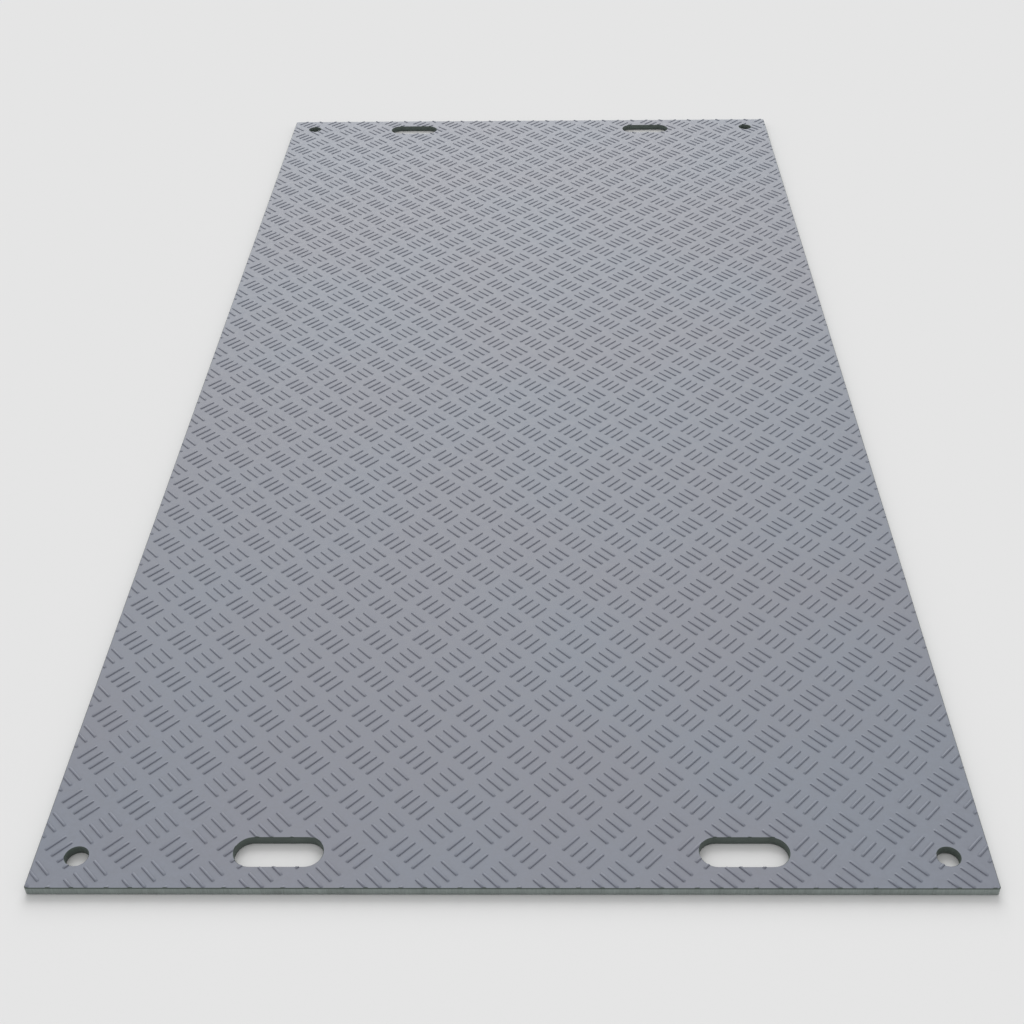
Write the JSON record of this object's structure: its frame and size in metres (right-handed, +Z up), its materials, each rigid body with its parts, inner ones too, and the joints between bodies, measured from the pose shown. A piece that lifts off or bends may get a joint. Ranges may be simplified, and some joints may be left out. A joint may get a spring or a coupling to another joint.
{
  "type": "ground protection mat",
  "caption": "Flat rectangular grey polyethylene ground protection mat with a raised bar tread, a round hole at each corner and stadium-shaped hand slots near both short ends.",
  "frame": {"origin": "middle of the underside, on the ground", "axes": "+Y along the mat's length, +X across its width, +Z up through the tread"},
  "size_m": [1.22, 2.44, 0.0142],
  "materials": {
    "mat_plastic": "moulded polyethylene with a low satin sheen, grey all through"
  },
  "bodies": {
    "root": {"mat": "mat_plastic"}
  },
  "joints": []
}
